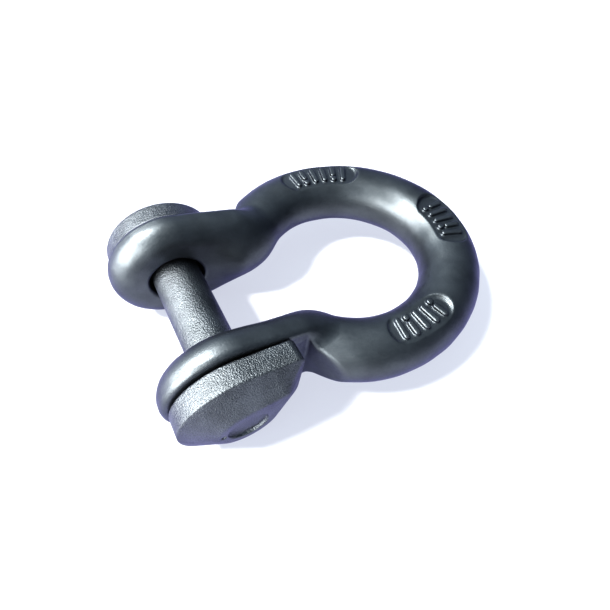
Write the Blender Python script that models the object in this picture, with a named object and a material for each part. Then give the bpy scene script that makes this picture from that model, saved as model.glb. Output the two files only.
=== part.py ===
"""Bow shackle: a forged bow, a bolt with a round, nosed head, a round conical nut and its set screw.

The bolt's axis lies along Y, +X runs from the bolt to the crown of the bow, and Z is square to the bow.
The outlines are drawn round the bolt's axis, and the empty "pin_axis" puts that axis in its place, so that
the world's origin is under the middle of the shackle, level with its lowest point. Lengths are in metres.
"""
import math

import bmesh
import bpy
from mathutils import Matrix, Vector

MM = 0.001

# Bolt and bore
PIN_RADIUS = 10.0 * MM
BORE_RADIUS = 11.4 * MM
BORE_CHAMFER = 1.5 * MM
THREAD_RADIUS = 9.0 * MM
NUT_BORE_RADIUS = 9.4 * MM
CLEARANCE = 0.3 * MM

# Eyes: teardrop plates, round about the bolt and narrowing towards the bow
JAW_GAP = 43.0 * MM
EYE_THICKNESS = 13.0 * MM
EYE_RADIUS = 25.5 * MM
EYE_TAIL_RADIUS = 19.5 * MM
EYE_TAIL_LENGTH = 25.0 * MM
EYE_INNER_EDGE = 8.5 * MM
EYE_OUTER_EDGE = 3.0 * MM

# Bow: a slightly oval ring of round bar that runs into the eyes by two curved arms
BOW_CENTRE = 70.5 * MM
BOW_RADIUS = 45.7 * MM
CROWN_REACH = 51.0 * MM
CROWN_BAR_RADIUS = 13.7 * MM
SIDE_BAR_RADIUS = 12.9 * MM
NECK_BAR_RADIUS = 12.8 * MM
ARM_START = 9.0 * MM
ARM_LEAD_OUT = 19.0 * MM
ARM_LEAD_IN = 5.0 * MM
ARM_END_ANGLE = math.radians(133.5)
PALM_LENGTH = 20.0 * MM

# Shoulders: where the full bar starts beside the bolt's head and the nut
SHOULDER_X = 31.0 * MM
SHOULDER_SLANT = math.radians(30)
FRONT_SHOULDER_FILLET = (1.2 * MM, 0.8 * MM)
REAR_SHOULDER_FILLET = (4.7 * MM, 3.2 * MM)

# Bolt head: round with one nose, which just clears the shoulder as it turns, a sloped flank and a flat end
HEAD_RADIUS = 23.6 * MM
HEAD_NOSE_REACH = 27.2 * MM
HEAD_NOSE_RADIUS = 3.6 * MM
HEAD_NOSE_ANGLE = math.radians(41)
HEAD_BAND = 8.5 * MM
HEAD_CONE = 6.6 * MM
HEAD_FLAT_RADIUS = 11.0 * MM
HEAD_FLAT_NOSE_REACH = 17.4 * MM
HEAD_FLAT_NOSE_RADIUS = 1.8 * MM
HEAD_FLAT_NOSE_ANGLE = math.radians(38)
HEAD_RECESS_RADIUS = 7.6 * MM
HEAD_RECESS_DEPTH = 1.2 * MM

# Nut and set screw
NUT_RADIUS = 23.0 * MM
NUT_BAND = 8.5 * MM
NUT_CONE = 6.2 * MM
NUT_FLAT_RADIUS = 13.5 * MM
BOLT_END_BELOW_NUT_FACE = 1.0 * MM
BOLT_END_CHAMFER = 1.5 * MM
SCREW_RADIUS = 2.5 * MM
SCREW_LENGTH = 12.0 * MM
SCREW_TIP_RADIUS = 1.4 * MM
SCREW_EDGE = 0.4 * MM
SCREW_SOCKET_RADIUS = 1.45 * MM
SCREW_SOCKET_DEPTH = 2.6 * MM
SCREW_ANGLE = math.radians(200)

# Raised-mark panels: shallow stadium recesses on the upper side of the bow, as (angle, length)
PANELS = ((78, 35 * MM), (-6, 30 * MM), (-84, 28 * MM))
PANEL_WIDTH = 13.5 * MM
PANEL_FLOOR_BELOW_CROWN_TOP = 2.6 * MM
PANEL_CUT_HEIGHT = 4.0 * MM
PANEL_FLOOR_INSET = 1.0 * MM
PANEL_TOP_OUTSET = 2.2 * MM

EYE_INNER_FACE = JAW_GAP / 2
EYE_OUTER_FACE = EYE_INNER_FACE + EYE_THICKNESS
SEAT = EYE_OUTER_FACE + CLEARANCE
CROWN_X = BOW_CENTRE + CROWN_REACH + CROWN_BAR_RADIUS
PIN_AXIS = Vector(((EYE_RADIUS - CROWN_X) / 2, 0, EYE_RADIUS))
OVERCUT = 2.0 * MM
EDGE_CHAMFER = 0.8 * MM
SECTION_SIDES = 20
TURNED_SIDES = 48


def clear_scene():
    for obj in list(bpy.data.objects):
        bpy.data.objects.remove(obj, do_unlink=True)


def steel(name, colour, roughness):
    material = bpy.data.materials.new(name)
    material.use_nodes = True
    shader = material.node_tree.nodes["Principled BSDF"]
    shader.inputs["Base Color"].default_value = (*colour, 1)
    shader.inputs["Metallic"].default_value = 1
    shader.inputs["Roughness"].default_value = roughness
    return material


def loft(name, rings, closed=False):
    """A solid through rings of equally many points, capped at its ends, or joined end to end if closed."""
    mesh = bpy.data.meshes.new(name)
    shape = bmesh.new()
    loops = [[shape.verts.new(point) for point in ring] for ring in rings]
    sides = len(rings[0])
    spans = list(zip(loops, loops[1:]))
    if closed:
        spans.append((loops[-1], loops[0]))
    for first, second in spans:
        for i in range(sides):
            j = (i + 1) % sides
            shape.faces.new((first[i], first[j], second[j], second[i]))
    if not closed:
        shape.faces.new(list(reversed(loops[0])))
        shape.faces.new(loops[-1])
    bmesh.ops.recalc_face_normals(shape, faces=shape.faces)
    shape.to_mesh(mesh)
    shape.free()
    return bpy.data.objects.new(name, mesh)


def finish(obj, material, parent, sharp=35):
    bpy.context.collection.objects.link(obj)
    obj.data.materials.append(material)
    obj.data.shade_smooth()
    obj.data.set_sharp_from_angle(angle=math.radians(sharp))
    obj.parent = parent
    return obj


def boolean(target, tool, operation, parent):
    """Cut a hidden tool out of the target, or join it on."""
    bpy.context.collection.objects.link(tool)
    tool.parent = parent
    tool.hide_render = True
    tool.display_type = "WIRE"
    modifier = target.modifiers.new(tool.name, "BOOLEAN")
    modifier.operation = operation
    modifier.object = tool


def arc(centre, radius, start, end, steps):
    """Points (x, z) along an arc, both ends included."""
    points = []
    for i in range(steps + 1):
        angle = start + (end - start) * i / steps
        points.append((centre[0] + radius * math.cos(angle), centre[1] + radius * math.sin(angle)))
    return points


def circle_ring(radius, y, sides=TURNED_SIDES):
    return [(x, y, z) for x, z in arc((0, 0), radius, 0, math.tau, sides)[:-1]]


def turned(name, profile, closed=False, sides=TURNED_SIDES):
    """A solid of revolution about Y from (radius, y) points."""
    return loft(name, [circle_ring(radius, y, sides) for radius, y in profile], closed)


def teardrop(radius, reach, tip_radius, direction=0.0, round_steps=34, tip_steps=14):
    """A big circle and a smaller one, reach away in a direction, joined by tangents, as (x, z) points."""
    tangent = math.acos((radius - tip_radius) / reach)
    tip = (reach * math.cos(direction), reach * math.sin(direction))
    outline = arc((0, 0), radius, direction + tangent, direction + math.tau - tangent, round_steps)
    outline += arc(tip, tip_radius, direction - tangent, direction + tangent, tip_steps)
    return outline


def eye_ring(inset, y):
    outline = teardrop(EYE_RADIUS - inset, EYE_TAIL_LENGTH, EYE_TAIL_RADIUS - inset)
    return [(x, y, z) for x, z in outline]


def head_ring(inset, y):
    outline = teardrop(HEAD_RADIUS - inset, HEAD_NOSE_REACH, HEAD_NOSE_RADIUS - inset, HEAD_NOSE_ANGLE, 36, 6)
    return [(x, y, z) for x, z in outline]


def smooth_step(value):
    value = min(max(value, 0), 1)
    return value * value * (3 - 2 * value)


def bow_point(angle, outward=0):
    """A point in plan of the oval bow line, or beside it; the oval is longer towards the crown."""
    reach = CROWN_REACH if math.cos(angle) > 0 else BOW_RADIUS
    along = BOW_CENTRE + (reach + outward) * math.cos(angle)
    return Vector((along, (BOW_RADIUS + outward) * math.sin(angle)))


def arm_line():
    """The bar's centre line in plan, from inside the +Y eye to the crown, as (x, y) points."""
    start = Vector((ARM_START, EYE_INNER_FACE + EYE_THICKNESS / 2))
    end = bow_point(ARM_END_ANGLE)
    direction = Vector((math.sin(ARM_END_ANGLE), -math.cos(ARM_END_ANGLE)))
    first_handle = start + Vector((ARM_LEAD_OUT, 0))
    second_handle = end - ARM_LEAD_IN * direction
    points = []
    arm_steps = 12
    for i in range(arm_steps):
        t = i / arm_steps
        points.append((1 - t) ** 3 * start + 3 * (1 - t) ** 2 * t * first_handle
                      + 3 * (1 - t) * t * t * second_handle + t ** 3 * end)
    bow_steps = 22
    for i in range(bow_steps + 1):
        points.append(bow_point(ARM_END_ANGLE * (1 - i / bow_steps)))
    return points


def bar_rings():
    """Rings of the forged bar from one eye round the crown to the other."""
    half = arm_line()
    mirrored = [Vector((point.x, -point.y)) for point in reversed(half[:-1])]
    line = half + mirrored
    travelled = [0]
    for first, second in zip(line, line[1:]):
        travelled.append(travelled[-1] + (second - first).length)
    half_length = travelled[-1] / 2
    rings = []
    for i, centre in enumerate(line):
        before = line[max(i - 1, 0)]
        after = line[min(i + 1, len(line) - 1)]
        along = (after - before).normalized()
        across = Vector((-along.y, along.x))
        distance = min(travelled[i], travelled[-1] - travelled[i])
        towards_crown = distance / half_length
        radius = NECK_BAR_RADIUS + (SIDE_BAR_RADIUS - NECK_BAR_RADIUS) * smooth_step(towards_crown / 0.4)
        radius += (CROWN_BAR_RADIUS - SIDE_BAR_RADIUS) * smooth_step((towards_crown - 0.4) / 0.6)
        spread = smooth_step(distance / PALM_LENGTH)
        width = EYE_THICKNESS * 0.45 * (1 - spread) + radius * spread
        ring = []
        for x, z in arc((0, 0), 1, 0, math.tau, SECTION_SIDES)[:-1]:
            plan = centre + across * x * width
            ring.append((plan.x, plan.y, z * radius))
        rings.append(ring)
    return rings


def eye_plate(name, side):
    """One eye: a teardrop plate with rounded edges, side +1 towards +Y."""
    rings = []
    for edge, face, sign in ((EYE_INNER_EDGE, EYE_INNER_FACE, 1), (EYE_OUTER_EDGE, EYE_OUTER_FACE, -1)):
        steps = 4
        order = range(steps + 1) if sign > 0 else range(steps, -1, -1)
        for i in order:
            angle = math.pi / 2 * i / steps
            inset = edge * (1 - math.sin(angle))
            depth = face + sign * edge * (1 - math.cos(angle))
            rings.append(eye_ring(inset, side * depth))
    return loft(name, rings)


def seat_cutter(name, side, fillet):
    """The room beside an eye for the head or the nut, with a filleted, slanted shoulder towards the bow."""
    depth = 40 * MM
    reach = 60 * MM
    slant = math.tan(SHOULDER_SLANT)
    plan = ((-reach, EYE_OUTER_FACE), (SHOULDER_X - fillet[0], EYE_OUTER_FACE),
            (SHOULDER_X + fillet[1] * slant, EYE_OUTER_FACE + fillet[1]),
            (SHOULDER_X + depth * slant, EYE_OUTER_FACE + depth), (-reach, EYE_OUTER_FACE + depth))
    return loft(name, [[(x, side * y, z) for x, y in plan] for z in (-reach, reach)])


def panel_cutter(name, degrees, length):
    """A curved stadium with sloped walls, sunk into the upper side of the bar."""
    floor = CROWN_BAR_RADIUS - PANEL_FLOOR_BELOW_CROWN_TOP
    rings = []
    for z, grow in ((floor, -PANEL_FLOOR_INSET), (floor + PANEL_CUT_HEIGHT, PANEL_TOP_OUTSET)):
        half_width = PANEL_WIDTH / 2 + grow
        straight = length / 2 - PANEL_WIDTH / 2
        outline = arc((straight, 0), half_width, -math.pi / 2, math.pi / 2, 8)
        outline += arc((-straight, 0), half_width, math.pi / 2, 3 * math.pi / 2, 8)
        ring = []
        for along, across in outline:
            place = bow_point(math.radians(degrees) + along / BOW_RADIUS, across)
            ring.append((place.x, place.y, z))
        rings.append(ring)
    return loft(name, rings)


def make_bow(parent):
    bow = loft("bow_body", bar_rings())
    finish(bow, steel("forged_steel", (0.34, 0.35, 0.35), 0.38), parent, sharp=40)
    for name, side, fillet in (("front_eye", -1, FRONT_SHOULDER_FILLET),
                               ("rear_eye", 1, REAR_SHOULDER_FILLET)):
        boolean(bow, eye_plate(name, side), "UNION", parent)
        boolean(bow, seat_cutter(name + "_seat", side, fillet), "DIFFERENCE", parent)
    for name, side in (("front_bore", -1), ("rear_bore", 1)):
        profile = [(BORE_RADIUS + BORE_CHAMFER + OVERCUT, side * (EYE_INNER_FACE - OVERCUT)),
                   (BORE_RADIUS, side * (EYE_INNER_FACE + BORE_CHAMFER)),
                   (BORE_RADIUS, side * (EYE_OUTER_FACE + OVERCUT))]
        boolean(bow, turned(name, profile), "DIFFERENCE", parent)
    for i, (degrees, length) in enumerate(PANELS):
        boolean(bow, panel_cutter(f"panel_{i + 1}", degrees, length), "DIFFERENCE", parent)
    return bow


def make_bolt(parent):
    band_end = SEAT + HEAD_BAND
    face = band_end + HEAD_CONE
    flat_end = teardrop(HEAD_FLAT_RADIUS, HEAD_FLAT_NOSE_REACH, HEAD_FLAT_NOSE_RADIUS,
                        HEAD_FLAT_NOSE_ANGLE, 36, 6)
    rings = [head_ring(EDGE_CHAMFER, -SEAT), head_ring(0, -SEAT - EDGE_CHAMFER), head_ring(0, -band_end),
             [(x, -face, z) for x, z in flat_end]]
    bolt = loft("bolt", rings)
    finish(bolt, steel("cast_steel", (0.36, 0.37, 0.37), 0.5), parent)
    bolt_end = SEAT + NUT_BAND + NUT_CONE - BOLT_END_BELOW_NUT_FACE
    step = PIN_RADIUS - THREAD_RADIUS
    shank = turned("bolt_shank", [(PIN_RADIUS, -SEAT - OVERCUT), (PIN_RADIUS, EYE_OUTER_FACE - step),
                                  (THREAD_RADIUS, EYE_OUTER_FACE),
                                  (THREAD_RADIUS, bolt_end - BOLT_END_CHAMFER),
                                  (THREAD_RADIUS - BOLT_END_CHAMFER, bolt_end)])
    boolean(bolt, shank, "UNION", parent)
    recess = turned("head_recess", [(HEAD_RECESS_RADIUS + OVERCUT, -face - OVERCUT),
                                    (HEAD_RECESS_RADIUS, -face),
                                    (HEAD_RECESS_RADIUS - HEAD_RECESS_DEPTH, -face + HEAD_RECESS_DEPTH)])
    boolean(bolt, recess, "DIFFERENCE", parent)
    return bolt


def make_nut(parent):
    band_end = SEAT + NUT_BAND
    face = band_end + NUT_CONE
    profile = [(NUT_BORE_RADIUS + EDGE_CHAMFER, SEAT), (NUT_RADIUS - EDGE_CHAMFER, SEAT),
               (NUT_RADIUS, SEAT + EDGE_CHAMFER), (NUT_RADIUS, band_end), (NUT_FLAT_RADIUS, face),
               (NUT_BORE_RADIUS + EDGE_CHAMFER, face), (NUT_BORE_RADIUS, face - EDGE_CHAMFER),
               (NUT_BORE_RADIUS, SEAT + EDGE_CHAMFER)]
    nut = turned("nut", profile, closed=True)
    finish(nut, steel("cast_steel_nut", (0.36, 0.37, 0.37), 0.5), parent)
    hole_radius = SCREW_RADIUS + CLEARANCE
    hole = turned("set_screw_hole", [(hole_radius, NUT_BORE_RADIUS - OVERCUT),
                                     (hole_radius, NUT_RADIUS + OVERCUT)], sides=16)
    hole.matrix_local = radial_matrix()
    boolean(nut, hole, "DIFFERENCE", parent)
    return nut


def radial_matrix():
    """Turns a piece drawn along +Y to point out of the nut's rim, at the set screw's place."""
    outward = Vector((math.cos(SCREW_ANGLE), 0, math.sin(SCREW_ANGLE)))
    turn = Vector((0, 1, 0)).rotation_difference(outward).to_matrix().to_4x4()
    return Matrix.Translation((0, SEAT + NUT_BAND / 2, 0)) @ turn


def make_set_screw(parent):
    tip = THREAD_RADIUS + CLEARANCE
    top = tip + SCREW_LENGTH
    shoulder = tip + SCREW_RADIUS - SCREW_TIP_RADIUS
    screw = turned("set_screw", [(SCREW_TIP_RADIUS, tip), (SCREW_RADIUS, shoulder),
                                 (SCREW_RADIUS, top - SCREW_EDGE),
                                 (SCREW_RADIUS - SCREW_EDGE, top)], sides=24)
    finish(screw, steel("black_steel", (0.05, 0.05, 0.055), 0.4), parent)
    screw.matrix_local = radial_matrix()
    socket = turned("screw_socket", [(SCREW_SOCKET_RADIUS, top - SCREW_SOCKET_DEPTH),
                                     (SCREW_SOCKET_RADIUS, top + OVERCUT)], sides=6)
    socket.matrix_local = radial_matrix()
    boolean(screw, socket, "DIFFERENCE", parent)
    return screw


def main():
    clear_scene()
    pin_axis = bpy.data.objects.new("pin_axis", None)
    pin_axis.location = PIN_AXIS
    bpy.context.collection.objects.link(pin_axis)
    make_bow(pin_axis)
    make_bolt(pin_axis)
    make_nut(pin_axis)
    make_set_screw(pin_axis)
    bpy.context.view_layer.update()


main()
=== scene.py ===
"""Bow shackle, the finished look: forged bow, cast bolt and nut, and the nut's set screw.

Each piece is meshed from a signed distance field, so that forged corners, fillets and threads are real
geometry. The fields are drawn in millimetres round the bolt's axis: X towards the crown, Y along the bolt.
"""
import math

import bpy
import numpy as np
from mathutils import Matrix, Vector


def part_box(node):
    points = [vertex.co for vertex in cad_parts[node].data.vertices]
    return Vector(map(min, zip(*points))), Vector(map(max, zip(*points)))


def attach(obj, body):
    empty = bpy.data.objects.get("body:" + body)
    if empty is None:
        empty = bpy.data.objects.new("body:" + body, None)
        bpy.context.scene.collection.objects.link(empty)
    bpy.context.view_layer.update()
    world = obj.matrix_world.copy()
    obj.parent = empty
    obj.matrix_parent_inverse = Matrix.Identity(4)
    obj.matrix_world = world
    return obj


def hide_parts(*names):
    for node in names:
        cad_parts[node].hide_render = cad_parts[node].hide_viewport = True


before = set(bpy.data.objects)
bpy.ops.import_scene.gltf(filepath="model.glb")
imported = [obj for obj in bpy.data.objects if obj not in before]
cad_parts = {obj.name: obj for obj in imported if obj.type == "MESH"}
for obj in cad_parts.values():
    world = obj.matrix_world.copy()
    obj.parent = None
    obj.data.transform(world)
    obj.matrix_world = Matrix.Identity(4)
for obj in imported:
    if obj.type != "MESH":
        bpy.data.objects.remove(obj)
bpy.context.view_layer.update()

MM = 0.001

# The bolt's axis in the frame: the nut is round about it, and the jaw is symmetrical about Y = 0
nut_low, nut_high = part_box("nut")
PIN_AXIS = Vector(((nut_low[0] + nut_high[0]) / 2, 0, (nut_low[2] + nut_high[2]) / 2))

# Bolt, bore and thread
PIN_RADIUS = 10.0
BORE_RADIUS = 11.4
BORE_EDGE = 1.8
THREAD_RADIUS = 9.0
THREAD_DEPTH = 1.1
THREAD_PITCH = 2.5
NUT_BORE_RADIUS = 9.4
CLEARANCE = 0.3

# Eyes
JAW_GAP = 43.0
EYE_THICKNESS = 13.0
EYE_RADIUS = 25.5
EYE_TAIL_RADIUS = 19.5
EYE_TAIL_LENGTH = 25.0
EYE_INNER_EDGE = 8.5
EYE_OUTER_EDGE = 3.0
EYE_INNER_FACE = JAW_GAP / 2
EYE_OUTER_FACE = EYE_INNER_FACE + EYE_THICKNESS
SEAT = EYE_OUTER_FACE + CLEARANCE

# Bow
BOW_CENTRE = 70.5
BOW_RADIUS = 45.7
CROWN_REACH = 51.0
CROWN_BAR_RADIUS = 13.7
SIDE_BAR_RADIUS = 12.9
NECK_BAR_RADIUS = 12.8
ARM_START = 9.0
ARM_LEAD_OUT = 19.0
ARM_LEAD_IN = 5.0
ARM_END_ANGLE = math.radians(133.5)
PALM_LENGTH = 20.0
NECK_FILLET = 5.0
WAVINESS = 0.12

# Shoulders
SHOULDER_X = 31.0
SHOULDER_SLANT = math.radians(30)
FRONT_SHOULDER_FILLET = 0.6
REAR_SHOULDER_FILLET = 4.5
SHOULDER_EDGE = 1.0

# Bolt head: round with one nose, as (radius, nose's reach, nose's radius, nose's direction)
HEAD_OUTLINE = (23.6, 27.2, 3.6, math.radians(41))
HEAD_FLAT_OUTLINE = (11.0, 17.4, 1.8, math.radians(38))
HEAD_BAND = 8.5
HEAD_CONE = 6.6
HEAD_RECESS_RADIUS = 7.6
HEAD_RECESS_DEPTH = 1.2
PUNCH_PLACE = (-9.3, 0.5)
PUNCH_RADIUS = 1.0

# Nut and set screw
NUT_RADIUS = 23.0
NUT_BAND = 8.5
NUT_CONE = 6.2
NUT_FLAT_RADIUS = 13.5
BOLT_END_BELOW_NUT_FACE = 1.0
SCREW_RADIUS = 2.5
SCREW_LENGTH = 12.0
SCREW_TIP_RADIUS = 1.4
SCREW_SOCKET_RADIUS = 1.3
SCREW_SOCKET_DEPTH = 2.6
SCREW_ANGLE = math.radians(200)

# Raised-mark panels on the upper side of the bow: centre in degrees about the bow's centre, length in mm
PANELS = ((78, 35.0), (-6, 30.0), (-84, 28.0))
PANEL_HALF_WIDTH = 6.9
PANEL_FLOOR = CROWN_BAR_RADIUS - 2.5
MARK_HEIGHT = 1.6
MARK_SPACING = 4.5
MARK_WIDTH = 1.15
MARK_END = 3.6
SHORT_MARK = (-0.6, 3.8)
DOT_RADIUS = 1.4

# Camera: its turn, height and tilt in degrees, and its aim from the bolt's axis and distance, in mm
CAMERA_ANGLES = (37.38, 55.59, 10.1)
CAMERA_AIM = (42.6, -13.5, 0)
CAMERA_DISTANCE = 177.6
CAMERA_SENSOR = 36
CAMERA_LENS = 24.787

BOW_PITCH = 0.5
BOLT_PITCH = 0.45
SCREW_PITCH = 0.2
BLOCK = 8


def rounded_max(a, b, radius):
    """The later of two distances, with the convex corner between them rounded."""
    outside = np.hypot(np.maximum(a + radius, 0), np.maximum(b + radius, 0))
    return np.minimum(-radius, np.maximum(a, b)) + outside


def rounded_min(a, b, radius):
    """The nearer of two distances, with the hollow corner between them filled."""
    return -rounded_max(-a, -b, radius)


def cut(solid, hollow, radius):
    return rounded_max(solid, -hollow, radius)


def smooth_step(value):
    value = np.clip(value, 0, 1)
    return value * value * (3 - 2 * value)


def surface_net(field, low, high, pitch):
    """Vertices and quads of the field's zero surface; only blocks near the surface are sampled finely."""
    low = np.array(low, float)
    count = np.ceil((np.array(high) - low) / pitch / BLOCK).astype(int) * BLOCK
    middle = (BLOCK - 1) / 2
    coarse_axes = [low[i] + pitch * (np.arange(0, count[i], BLOCK) + middle) for i in range(3)]
    coarse = field(*np.meshgrid(*coarse_axes, indexing="ij"))
    near = np.abs(coarse) < pitch * BLOCK * 1.3
    block = np.argwhere(near)
    values = np.where(coarse > 0, 9.0, -9.0)
    for axis in range(3):
        values = np.repeat(values, BLOCK, axis)
    offsets = np.stack(np.meshgrid(*[np.arange(BLOCK)] * 3, indexing="ij"), -1).reshape(-1, 3)
    for part in np.array_split(block, max(1, len(block) // 2000)):
        index = (part[:, None, :] * BLOCK + offsets[None]).reshape(-1, 3)
        place = low + pitch * index
        values[tuple(index.T)] = field(*place.T)
    inside = values < 0
    changes = np.zeros(np.array(values.shape) - 1, bool)
    corners = [(i, j, k) for i in (0, 1) for j in (0, 1) for k in (0, 1)]
    first = inside[:-1, :-1, :-1]
    for i, j, k in corners[1:]:
        changes |= first != inside[i:i + changes.shape[0], j:j + changes.shape[1], k:k + changes.shape[2]]
    cells = np.argwhere(changes)
    corner_values = {c: values[tuple((cells + c).T)] for c in corners}
    total = np.zeros((len(cells), 3))
    weight = np.zeros(len(cells))
    for start in corners:
        for axis in range(3):
            if start[axis]:
                continue
            end = tuple(1 if i == axis else start[i] for i in range(3))
            a = corner_values[start]
            b = corner_values[end]
            crossing = (a < 0) != (b < 0)
            share = np.where(crossing, a / np.where(crossing, a - b, 1), 0)
            point = np.array(start, float) + share[:, None] * (np.array(end) - np.array(start))
            total += np.where(crossing[:, None], point, 0)
            weight += crossing
    vertices = low + pitch * (cells + total / weight[:, None])
    number = np.full(changes.shape, -1, np.int32)
    number[tuple(cells.T)] = np.arange(len(cells))
    quads = []
    for axis in range(3):
        u = (axis + 1) % 3
        v = (axis + 2) % 3
        shifted = np.roll(inside, -1, axis)
        edges = np.argwhere(inside != shifted)
        edges = edges[(edges[:, axis] < values.shape[axis] - 1) & (edges[:, u] > 0) & (edges[:, v] > 0)]
        step_u = np.eye(3, dtype=int)[u]
        step_v = np.eye(3, dtype=int)[v]
        ring = [number[tuple((edges - s).T)] for s in (0 * step_u, step_u, step_u + step_v, step_v)]
        quad = np.stack(ring, -1)
        flip = ~inside[tuple(edges.T)]
        quad[flip] = quad[flip][:, ::-1]
        quads.append(quad)
    return vertices, np.concatenate(quads)


def settle(field, vertices, rounds=2):
    """Moves the vertices onto the field's zero surface."""
    reach = 0.02
    for _ in range(rounds):
        value = field(*vertices.T)
        slope = np.stack([field(*(vertices + reach * np.eye(3)[i]).T) - value for i in range(3)], -1) / reach
        vertices = vertices - slope * (value / np.maximum((slope ** 2).sum(1), 0.3))[:, None]
    return vertices


def piece(name, field, low, high, pitch, material, body, nodes):
    vertices, quads = surface_net(field, low, high, pitch)
    vertices = settle(field, vertices)
    mesh = bpy.data.meshes.new(name)
    mesh.from_pydata((vertices * MM + np.array(PIN_AXIS)).tolist(), [], quads.tolist())
    mesh.shade_smooth()
    mesh.materials.append(material)
    obj = bpy.data.objects.new(name, mesh)
    bpy.context.collection.objects.link(obj)
    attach(obj, body)
    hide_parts(*nodes)
    return obj


# ---- Bow ----

def bow_line():
    """The bar's centre line for Y >= 0, as closely spaced points (x, y), with the distance travelled."""
    start = np.array((ARM_START, EYE_INNER_FACE + EYE_THICKNESS / 2))
    end = np.array((BOW_CENTRE + BOW_RADIUS * math.cos(ARM_END_ANGLE), BOW_RADIUS * math.sin(ARM_END_ANGLE)))
    direction = np.array((math.sin(ARM_END_ANGLE), -math.cos(ARM_END_ANGLE)))
    handles = start, start + (ARM_LEAD_OUT, 0), end - ARM_LEAD_IN * direction, end
    t = np.linspace(0, 1, 160, endpoint=False)[:, None]
    weights = (1 - t) ** 3, 3 * (1 - t) ** 2 * t, 3 * (1 - t) * t * t, t ** 3
    arm = sum(w * h for w, h in zip(weights, handles))
    angle = np.linspace(ARM_END_ANGLE, 0, 260)
    reach = np.where(np.cos(angle) > 0, CROWN_REACH, BOW_RADIUS)
    ring = np.stack([BOW_CENTRE + reach * np.cos(angle), BOW_RADIUS * np.sin(angle)], -1)
    line = np.concatenate([arm, ring])
    travelled = np.concatenate([[0], np.cumsum(np.hypot(*np.diff(line, axis=0).T))])
    return line, travelled


LINE, TRAVELLED = bow_line()
TABLE_LOW = np.array((-34.0, -2.0))
TABLE_STEP = 0.5
TABLE_SIZE = (348, 138)


def line_table():
    """Distance to the bar's centre line, and how far along it that is, over a grid in plan."""
    grid = np.stack(np.meshgrid(*[TABLE_LOW[i] + TABLE_STEP * np.arange(TABLE_SIZE[i]) for i in (0, 1)],
                                indexing="ij"), -1)
    aside = np.empty(TABLE_SIZE)
    along = np.empty(TABLE_SIZE)
    segment = np.diff(LINE, axis=0)
    length = np.hypot(*segment.T)
    for i, row in enumerate(grid):
        to_start = row[:, None, :] - LINE[None, :-1]
        share = np.clip((to_start * segment).sum(-1) / length ** 2, 0, 1)
        distance = np.hypot(*np.moveaxis(to_start - share[..., None] * segment, -1, 0))
        best = distance.argmin(1)
        pick = np.arange(len(row))
        aside[i] = distance[pick, best]
        along[i] = TRAVELLED[best] + share[pick, best] * length[best]
    return aside, along


ASIDE, ALONG = line_table()


def look_up(x, y):
    u = np.clip((x - TABLE_LOW[0]) / TABLE_STEP, 0, TABLE_SIZE[0] - 1.001)
    v = np.clip((y - TABLE_LOW[1]) / TABLE_STEP, 0, TABLE_SIZE[1] - 1.001)
    i = u.astype(int)
    j = v.astype(int)
    u = u - i
    v = v - j
    found = []
    for table in (ASIDE, ALONG):
        found.append((table[i, j] * (1 - u) + table[i + 1, j] * u) * (1 - v)
                     + (table[i, j + 1] * (1 - u) + table[i + 1, j + 1] * u) * v)
    return found


def bar_distance(x, side_y, z):
    aside, along = look_up(x, side_y)
    towards_crown = along / TRAVELLED[-1]
    radius = NECK_BAR_RADIUS + (SIDE_BAR_RADIUS - NECK_BAR_RADIUS) * smooth_step(towards_crown / 0.4)
    radius = radius + (CROWN_BAR_RADIUS - SIDE_BAR_RADIUS) * smooth_step((towards_crown - 0.4) / 0.6)
    spread = smooth_step(along / PALM_LENGTH)
    width = EYE_THICKNESS * 0.45 * (1 - spread) + radius * spread
    return (np.sqrt((aside / width) ** 2 + (z / radius) ** 2) - 1) * np.minimum(width, radius)


def teardrop_distance(x, z, radius, reach, tip_radius, direction=0.0):
    """Distance to a big circle and a smaller one, reach away in a direction, joined by tangents."""
    forward = x * math.cos(direction) + z * math.sin(direction)
    aside = np.abs(z * math.cos(direction) - x * math.sin(direction))
    lean = (radius - tip_radius) / reach
    rise = math.sqrt(1 - lean * lean)
    place = forward * rise - aside * lean
    straight = aside * rise + forward * lean - radius
    return np.where(place < 0, np.hypot(forward, aside) - radius,
                    np.where(place > rise * reach, np.hypot(forward - reach, aside) - tip_radius, straight))


def panel_place(x, y, degrees):
    """Distance along and across the bow line from a panel's middle."""
    forward = x - BOW_CENTRE
    forward = np.where(forward > 0, forward * BOW_RADIUS / CROWN_REACH, forward)
    along = (np.arctan2(y, forward) - math.radians(degrees)) * BOW_RADIUS
    return along, np.hypot(forward, y) - BOW_RADIUS


def capsule(along, across, start, end):
    """Distance to a straight stroke from start to end."""
    start = np.array(start, float)
    run = np.array(end, float) - start
    share = ((along - start[0]) * run[0] + (across - start[1]) * run[1]) / max(run @ run, 1e-9)
    share = np.clip(share, 0, 1)
    return np.hypot(along - start[0] - share * run[0], across - start[1] - share * run[1])


def panel_marks(along, across, length):
    """Plain raised bars across the panel; every third one is cut short, with a dot at its end."""
    nearest = np.full(np.shape(along), 99.0)
    count = int(length / MARK_SPACING) - 1
    for i in range(count):
        middle = (i - (count - 1) / 2) * MARK_SPACING
        if i % 3 == 1:
            ends = [(middle, end) for end in SHORT_MARK]
            nearest = np.minimum(nearest, capsule(along, across, *ends) - MARK_WIDTH)
            dot = np.hypot(along - middle, across + MARK_END)
            nearest = np.minimum(nearest, dot - DOT_RADIUS)
        else:
            ends = (middle, -MARK_END), (middle, MARK_END)
            nearest = np.minimum(nearest, capsule(along, across, *ends) - MARK_WIDTH)
    return nearest


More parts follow.
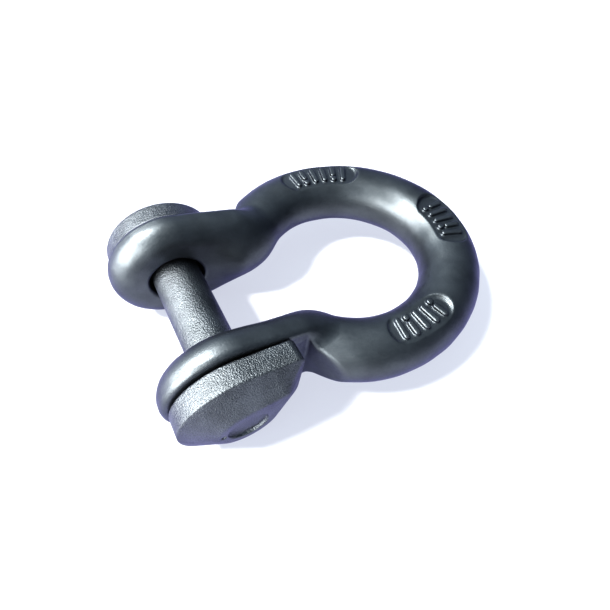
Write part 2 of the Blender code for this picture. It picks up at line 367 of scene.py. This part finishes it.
def bow_distance(x, y, z):
    side_y = np.abs(y)
    bar = bar_distance(x, side_y, z)
    outline = teardrop_distance(x, z, EYE_RADIUS, EYE_TAIL_LENGTH, EYE_TAIL_RADIUS)
    eye = rounded_max(outline, EYE_INNER_FACE - side_y, EYE_INNER_EDGE)
    eye = rounded_max(eye, side_y - EYE_OUTER_FACE, EYE_OUTER_EDGE)
    solid = rounded_min(bar, eye, NECK_FILLET)
    past_shoulder = x - SHOULDER_X - (side_y - EYE_OUTER_FACE) * math.tan(SHOULDER_SLANT)
    fillet = np.where(y < 0, FRONT_SHOULDER_FILLET, REAR_SHOULDER_FILLET)
    seat = rounded_max(EYE_OUTER_FACE - side_y, past_shoulder * math.cos(SHOULDER_SLANT), fillet)
    solid = cut(solid, seat, SHOULDER_EDGE)
    solid = cut(solid, np.hypot(x, z) - BORE_RADIUS, BORE_EDGE)
    wave = np.sin(x * 0.31 + y * 0.17) * np.sin(y * 0.27 - z * 0.33 + 1.0) * np.sin(z * 0.29 + x * 0.13)
    solid = solid + WAVINESS * wave
    for degrees, length in PANELS:
        along, across = panel_place(x, y, degrees)
        outline = np.hypot(np.maximum(np.abs(along) - length / 2 + PANEL_HALF_WIDTH, 0), across)
        wall = (outline - PANEL_HALF_WIDTH - (z - PANEL_FLOOR) * 0.45) * 0.9
        solid = cut(solid, rounded_max(wall, PANEL_FLOOR - z, 0.7), 0.5)
        marks = rounded_max(panel_marks(along, across, length), z - PANEL_FLOOR - MARK_HEIGHT, 0.4)
        marks = np.maximum(marks, PANEL_FLOOR - 2 - z)
        solid = rounded_min(solid, marks, 0.35)
    return solid


# ---- Bolt, nut and set screw ----

def thread(x, y, z, radius, depth, start, end):
    """How far the thread's groove cuts in at each point, tapering off at its two ends."""
    turn = y / THREAD_PITCH - np.arctan2(z, x) / math.tau
    tooth = np.abs(2 * (turn - np.floor(turn)) - 1)
    fade = smooth_step((y - start) / 2) * smooth_step((end - y) / 2)
    return depth * np.clip(tooth * 1.35 - 0.15, 0, 1) * fade


def bolt_distance(x, y, z):
    band_end = SEAT + HEAD_BAND
    face = band_end + HEAD_CONE
    rise = np.clip((-y - band_end) / HEAD_CONE, 0, 1.2)
    full = teardrop_distance(x, z, *HEAD_OUTLINE)
    flat = teardrop_distance(x, z, *HEAD_FLAT_OUTLINE)
    cone = (full * (1 - rise) + flat * rise) * 0.46
    head = rounded_max(full, cone, 0.35)
    head = rounded_max(head, SEAT + y, 1.0)
    head = rounded_max(head, -y - face, 0.35)
    across = np.hypot(x, z)
    recess = rounded_max(across - HEAD_RECESS_RADIUS, y + face - HEAD_RECESS_DEPTH, 0.5)
    head = cut(head, recess, 0.5)
    punch = np.sqrt((x - PUNCH_PLACE[0]) ** 2 + (z - PUNCH_PLACE[1]) ** 2 + (y + face) ** 2) - PUNCH_RADIUS
    head = cut(head, punch, 0.3)
    bolt_end = SEAT + NUT_BAND + NUT_CONE - BOLT_END_BELOW_NUT_FACE
    shank = rounded_max(across - PIN_RADIUS, y - EYE_OUTER_FACE, 1.0)
    threaded = across - THREAD_RADIUS + thread(x, y, z, THREAD_RADIUS, THREAD_DEPTH, EYE_OUTER_FACE, bolt_end)
    threaded = rounded_max(threaded * 0.8, y - bolt_end, 1.2)
    shank = np.minimum(shank, threaded)
    shank = np.maximum(shank, -SEAT - 3 - y)
    return rounded_min(head, shank, 1.2)


def nut_distance(x, y, z):
    band_end = SEAT + NUT_BAND
    face = band_end + NUT_CONE
    across = np.hypot(x, z)
    slope = math.atan2(NUT_RADIUS - NUT_FLAT_RADIUS, NUT_CONE)
    cone = (across - NUT_RADIUS) * math.cos(slope) + (y - band_end) * math.sin(slope)
    solid = rounded_max(across - NUT_RADIUS, cone, 0.8)
    solid = rounded_max(solid, SEAT - y, 1.0)
    solid = rounded_max(solid, y - face, 0.8)
    bore = across - NUT_BORE_RADIUS - thread(x, y, z, NUT_BORE_RADIUS, THREAD_DEPTH, SEAT, face)
    solid = cut(solid, bore * 0.8, 0.5)
    outward = x * math.cos(SCREW_ANGLE) + z * math.sin(SCREW_ANGLE)
    aside = z * math.cos(SCREW_ANGLE) - x * math.sin(SCREW_ANGLE)
    hole = np.hypot(aside, y - SEAT - NUT_BAND / 2) - SCREW_RADIUS - CLEARANCE
    return cut(solid, np.maximum(hole, 5 - outward), 0.4)


def screw_distance(x, y, z):
    outward = x * math.cos(SCREW_ANGLE) + z * math.sin(SCREW_ANGLE)
    aside = z * math.cos(SCREW_ANGLE) - x * math.sin(SCREW_ANGLE)
    level = y - SEAT - NUT_BAND / 2
    across = np.hypot(aside, level)
    tip = THREAD_RADIUS + CLEARANCE
    top = tip + SCREW_LENGTH
    turn = outward / 0.8 - np.arctan2(level, aside) / math.tau
    groove = 0.28 * np.abs(2 * (turn - np.floor(turn)) - 1)
    body = (across - SCREW_RADIUS + groove) * 0.8
    point = (across - SCREW_TIP_RADIUS - (outward - tip)) * 0.7
    solid = np.maximum(np.maximum(body, point), tip - outward)
    solid = rounded_max(solid, outward - top, 0.35)
    angle = np.arctan2(level, aside)
    sector = math.tau / 6
    to_flat = across * np.cos((angle % sector) - sector / 2)
    socket = np.maximum(to_flat - SCREW_SOCKET_RADIUS, top - SCREW_SOCKET_DEPTH - outward)
    return cut(solid, socket, 0.1)


# ---- Materials ----

def metal(name, colour, roughness, grain_size, grain_depth, wear):
    """Grey steel whose fine grain, pits and worn patches come from noise in the object's own space."""
    material = bpy.data.materials.new(name)
    material.use_nodes = True
    nodes = material.node_tree.nodes
    links = material.node_tree.links
    shader = nodes["Principled BSDF"]
    shader.inputs["Metallic"].default_value = 1
    shader.inputs["Specular Tint"].default_value = (0.66, 0.62, 1, 1)
    place = nodes.new("ShaderNodeTexCoord")

    def noise(scale, detail, rough=0.5):
        node = nodes.new("ShaderNodeTexNoise")
        node.inputs["Scale"].default_value = scale
        node.inputs["Detail"].default_value = detail
        node.inputs["Roughness"].default_value = rough
        links.new(place.outputs["Object"], node.inputs["Vector"])
        return node.outputs["Fac"]

    def ramp(value, low, high, first, last):
        node = nodes.new("ShaderNodeMapRange")
        node.inputs["From Min"].default_value = low
        node.inputs["From Max"].default_value = high
        node.inputs["To Min"].default_value = first
        node.inputs["To Max"].default_value = last
        links.new(value, node.inputs["Value"])
        return node.outputs["Result"]

    def mixed(factor, first, last):
        node = nodes.new("ShaderNodeMix")
        node.data_type = "RGBA"
        links.new(factor, node.inputs["Factor"])
        for socket, value in (("A", first), ("B", last)):
            node.inputs[socket].default_value = (*value, 1)
        return node.outputs["Result"]

    dark = tuple(c * (1 - wear) for c in colour)
    light = tuple(min(1, c * (1 + wear)) for c in colour)
    patches = noise(90, 5, 0.6)
    links.new(mixed(ramp(patches, 0.35, 0.65, 0, 1), dark, light), shader.inputs["Base Color"])
    grain = noise(grain_size, 3, 0.55)
    links.new(ramp(grain, 0.3, 0.7, roughness - 0.05, roughness + 0.07), shader.inputs["Roughness"])
    bump = nodes.new("ShaderNodeBump")
    bump.inputs["Strength"].default_value = 1
    bump.inputs["Distance"].default_value = grain_depth
    links.new(grain, bump.inputs["Height"])
    links.new(bump.outputs["Normal"], shader.inputs["Normal"])
    return material


def plain(name, colour, roughness):
    material = bpy.data.materials.new(name)
    material.use_nodes = True
    shader = material.node_tree.nodes["Principled BSDF"]
    shader.inputs["Base Color"].default_value = (*colour, 1)
    shader.inputs["Roughness"].default_value = roughness
    return material


# ---- Studio ----

def add_camera():
    """The camera looks down on the shackle from the bolt head's side, turned a little about its view."""
    turn, height, tilt = (math.radians(a) for a in CAMERA_ANGLES)
    back = Vector((-math.sin(turn) * math.cos(height), -math.cos(turn) * math.cos(height), math.sin(height)))
    right = Vector((math.cos(turn), -math.sin(turn), 0))
    up = back.cross(right)
    axis_x = math.cos(tilt) * right + math.sin(tilt) * up
    axis_y = math.cos(tilt) * up - math.sin(tilt) * right
    target = PIN_AXIS + Vector(CAMERA_AIM) * MM
    camera = bpy.data.objects.new("camera", bpy.data.cameras.new("camera"))
    camera.data.lens = CAMERA_LENS
    camera.data.sensor_width = CAMERA_SENSOR
    camera.data.clip_start = 0.01
    bpy.context.collection.objects.link(camera)
    turn_matrix = Matrix((axis_x, axis_y, back)).transposed().to_4x4()
    camera.matrix_world = Matrix.Translation(target + back * CAMERA_DISTANCE * MM) @ turn_matrix
    bpy.context.scene.camera = camera


def add_area(name, direction, distance, size, power, colour):
    data = bpy.data.lights.new(name, "AREA")
    data.shape = "RECTANGLE"
    data.size, data.size_y = size
    data.energy = power
    data.color = colour
    light = bpy.data.objects.new(name, data)
    direction = Vector(direction).normalized()
    light.location = direction * distance
    light.rotation_euler = direction.to_track_quat("Z", "Y").to_euler()
    bpy.context.collection.objects.link(light)
    return light


def add_studio():
    """A pale floor, a sky that darkens to one side, a light for the shadow and two for the steel's shine."""
    floor_material = plain("pale_floor", (0.32, 0.32, 0.32), 1)
    shader = floor_material.node_tree.nodes["Principled BSDF"]
    shader.inputs["Specular IOR Level"].default_value = 0
    shader.inputs["Emission Color"].default_value = (0.86, 0.88, 1, 1)
    shader.inputs["Emission Strength"].default_value = 0.5
    mesh = bpy.data.meshes.new("floor")
    reach = 3.0
    mesh.from_pydata([(-reach, -reach, 0), (reach, -reach, 0), (reach, reach, 0), (-reach, reach, 0)], [],
                     [(0, 1, 2, 3)])
    mesh.materials.append(floor_material)
    floor = bpy.data.objects.new("floor", mesh)
    bpy.context.collection.objects.link(floor)
    world = bpy.data.worlds.new("studio")
    world.use_nodes = True
    nodes = world.node_tree.nodes
    links = world.node_tree.links
    place = nodes.new("ShaderNodeTexCoord")
    facing = nodes.new("ShaderNodeVectorMath")
    facing.operation = "DOT_PRODUCT"
    facing.inputs[1].default_value = (0.8, -0.5, -0.3)
    links.new(place.outputs["Generated"], facing.inputs[0])
    side = nodes.new("ShaderNodeMapRange")
    side.inputs["From Min"].default_value = -1
    links.new(facing.outputs["Value"], side.inputs["Value"])
    sky = nodes.new("ShaderNodeMix")
    sky.data_type = "RGBA"
    sky.inputs["A"].default_value = (0.72, 0.84, 0.9, 1)
    sky.inputs["B"].default_value = (0.03, 0.045, 0.08, 1)
    links.new(side.outputs["Result"], sky.inputs["Factor"])
    links.new(sky.outputs["Result"], nodes["Background"].inputs["Color"])
    bpy.context.scene.world = world
    overhead = add_area("overhead", (-1.1, 0.2, 1.5), 2, (0.2, 0.2), 72, (1, 1, 0.97))
    overhead.visible_glossy = False
    key = add_area("key", (-0.9, 0.5, 1.5), 0.8, (0.4, 0.4), 9, (1, 1, 0.93))
    key.visible_diffuse = False
    left = add_area("left", (-1, -0.15, 0.4), 0.7, (0.9, 0.5), 12, (1, 1, 0.93))
    left.visible_diffuse = False
    bpy.context.scene.view_settings.view_transform = "Standard"
    bpy.context.scene.view_settings.look = "High Contrast"


forged = metal("forged_steel", (0.125, 0.136, 0.15), 0.43, 1500, 0.00006, 0.12)
cast = metal("cast_steel", (0.135, 0.145, 0.16), 0.42, 1600, 0.0004, 0.2)
black = metal("black_steel", (0.05, 0.05, 0.055), 0.4, 1500, 0.00005, 0.1)

crown_x = BOW_CENTRE + CROWN_REACH + CROWN_BAR_RADIUS
half_y = BOW_RADIUS + CROWN_BAR_RADIUS
bow = piece("bow_forging", bow_distance, (-EYE_RADIUS - 2, -half_y - 2, -EYE_RADIUS - 2),
            (crown_x + 2, half_y + 2, EYE_RADIUS + 2), BOW_PITCH, forged, "bow", ["bow_body"])
bolt = piece("bolt_forging", bolt_distance, (-26, -SEAT - 18, -26), (30, SEAT + 16, 26),
             BOLT_PITCH, cast, "bolt", ["bolt"])
nut = piece("nut_forging", nut_distance, (-26, SEAT - 2, -26), (26, SEAT + 18, 26),
            BOLT_PITCH, cast, "nut", ["nut"])
screw = piece("set_screw_piece", screw_distance, (-24, SEAT, -12), (-4, SEAT + 9, 2), SCREW_PITCH, black,
              "set_screw", ["set_screw"])

add_camera()
add_studio()
